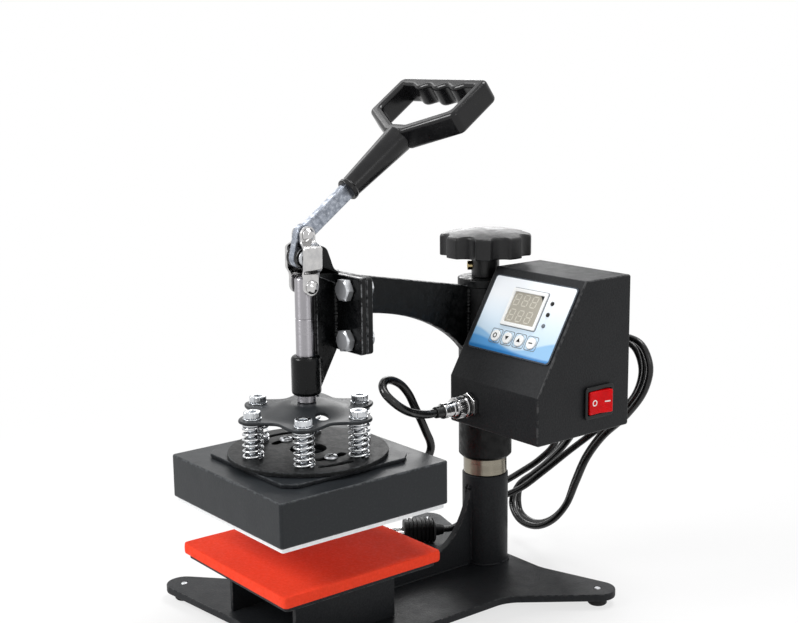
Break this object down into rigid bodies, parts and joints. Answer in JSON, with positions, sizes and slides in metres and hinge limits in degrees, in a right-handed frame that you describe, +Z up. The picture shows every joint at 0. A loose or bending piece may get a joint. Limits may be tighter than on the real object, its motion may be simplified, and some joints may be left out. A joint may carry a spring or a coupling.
{
  "type": "swing-away combo heat press",
  "caption": "Small swing-away heat press: a sprung square heater on a toggle lever hangs from a swivelling arm over a padded table, with a control box on the column.",
  "frame": {"origin": "on the surface under the feet, at the middle of the press without its free cords", "axes": "+Z up; the operator stands at -Y; the control box is on the +X side"},
  "size_m": [0.2198, 0.2863, 0.3505],
  "materials": {
    "black_powder_coat": "fine-textured black powder coat",
    "foot_rubber": "matt black rubber",
    "bright_steel": "bright turned steel",
    "zinc_plate": "zinc-plated steel",
    "spring_steel": "plated spring wire",
    "red_silicone": "orange-red silicone sponge",
    "knob_plastic": "satin black moulding with a fine grain",
    "grip_plastic": "glossy black moulding",
    "cast_aluminium": "pale coated aluminium",
    "panel_film": "printed film, white to blue",
    "circuit_board": "green circuit board",
    "button_white": "white moulding",
    "switch_black": "black moulding",
    "rocker_red": "clear red moulding",
    "nickel": "nickel plate",
    "cord_rubber": "satin black PVC"
  },
  "bodies": {
    "base": {"base_plate": "black_powder_coat", "foot_front_left": "foot_rubber", "foot_front_right": "foot_rubber", "foot_rear_left": "foot_rubber", "foot_rear_right": "foot_rubber", "column": "black_powder_coat", "inner_post": "bright_steel", "pedestal": "black_powder_coat", "platen_table": "black_powder_coat", "press_pad": "red_silicone"},
    "swivel": {"thrust_washer": "bright_steel"},
    "arm": {"swing_arm": "black_powder_coat", "head_bracket": "black_powder_coat", "flange_bolt_1": "zinc_plate", "flange_bolt_2": "zinc_plate", "flange_bolt_3": "zinc_plate", "flange_bolt_4": "zinc_plate", "pivot_pin": "zinc_plate", "box_shell": "black_powder_coat", "box_back_cover": "black_powder_coat", "control_board": "circuit_board", "panel_label": "panel_film", "switch_housing": "switch_black", "cable_socket": "nickel", "cord_gland": "switch_black", "cable_plug": "nickel", "heater_cable": "cord_rubber", "power_cord": "cord_rubber", "power_plug": "cord_rubber"},
    "knob_and_screw": {"knob": "knob_plastic", "adjusting_screw": "bright_steel"},
    "lever": {"lever_bar": "zinc_plate", "handle_grip": "grip_plastic", "lever_rivet": "zinc_plate"},
    "links": {"link_plate_left": "zinc_plate", "link_plate_right": "zinc_plate"},
    "plunger": {"plunger_rod": "bright_steel", "spring_plate": "black_powder_coat"},
    "heater": {"heater_cover": "black_powder_coat", "heater_top_plate": "black_powder_coat", "mounting_disc": "black_powder_coat", "heating_plate": "cast_aluminium", "heating_element": "bright_steel", "head_bolt_1": "zinc_plate", "head_bolt_2": "zinc_plate", "head_bolt_3": "zinc_plate", "head_bolt_4": "zinc_plate", "head_bolt_5": "zinc_plate", "head_bolt_6": "zinc_plate", "spring_1": "spring_steel", "spring_2": "spring_steel", "spring_3": "spring_steel", "spring_4": "spring_steel", "spring_5": "spring_steel", "spring_6": "spring_steel"},
    "rocker": {"rocker": "rocker_red"},
    "button_a": {"button_1": "button_white"},
    "button_b": {"button_2": "button_white"},
    "button_c": {"button_3": "button_white"},
    "button_d": {"button_4": "button_white"}
  },
  "joints": [
    {"name": "swing", "type": "hinge", "parent": "base", "child": "swivel", "pos_m": [0, 0.08555, 0.2], "axis": [0, 0, 1], "range_deg": [-90, 30]},
    {"name": "arm_lift", "type": "slide", "parent": "swivel", "child": "arm", "axis": [0, 0, 1], "range_m": [0, 0.01]},
    {"name": "knob_turn", "type": "hinge", "parent": "arm", "child": "knob_and_screw", "pos_m": [0, 0.08555, 0.24], "axis": [0, 0, 1], "range_deg": [0, 2400]},
    {"name": "lever_turn", "type": "hinge", "parent": "arm", "child": "lever", "pos_m": [0, -0.06795, 0.245], "axis": [1, 0, 0], "range_deg": [0, 192.4]},
    {"name": "link_swing", "type": "hinge", "parent": "lever", "child": "links", "pos_m": [0, -0.0649, 0.25887], "axis": [1, 0, 0], "range_deg": [-187, 0]},
    {"name": "plunger_slide", "type": "slide", "parent": "arm", "child": "plunger", "axis": [0, 0, 1], "range_m": [-0.028, 0]},
    {"name": "platen_float", "type": "slide", "parent": "plunger", "child": "heater", "axis": [0, 0, 1], "range_m": [0, 0.004], "stiffness_N_per_m": 6000, "springref_m": -0.004, "deforming": ["spring_1", "spring_2", "spring_3", "spring_4", "spring_5", "spring_6"]},
    {"name": "rocker_tip", "type": "hinge", "parent": "arm", "child": "rocker", "pos_m": [0.105, 0.08935, 0.147], "axis": [0, 0, 1], "range_deg": [0, 16]},
    {"name": "button_a_press", "type": "slide", "parent": "arm", "child": "button_a", "axis": [0, 0.8571, -0.5152], "range_m": [0, 0.0008], "stiffness_N_per_m": 500},
    {"name": "button_b_press", "type": "slide", "parent": "arm", "child": "button_b", "axis": [0, 0.8571, -0.5152], "range_m": [0, 0.0008], "stiffness_N_per_m": 500},
    {"name": "button_c_press", "type": "slide", "parent": "arm", "child": "button_c", "axis": [0, 0.8571, -0.5152], "range_m": [0, 0.0008], "stiffness_N_per_m": 500},
    {"name": "button_d_press", "type": "slide", "parent": "arm", "child": "button_d", "axis": [0, 0.8571, -0.5152], "range_m": [0, 0.0008], "stiffness_N_per_m": 500}
  ],
  "couplings": [
    {"joint": "knob_turn", "follows": "arm_lift", "rad_per_m": 4188.8},
    {"joint": "link_swing", "follows": "lever_turn", "ratio": -0.9714},
    {"joint": "plunger_slide", "follows": "lever_turn", "m_per_rad": -0.0083308}
  ]
}
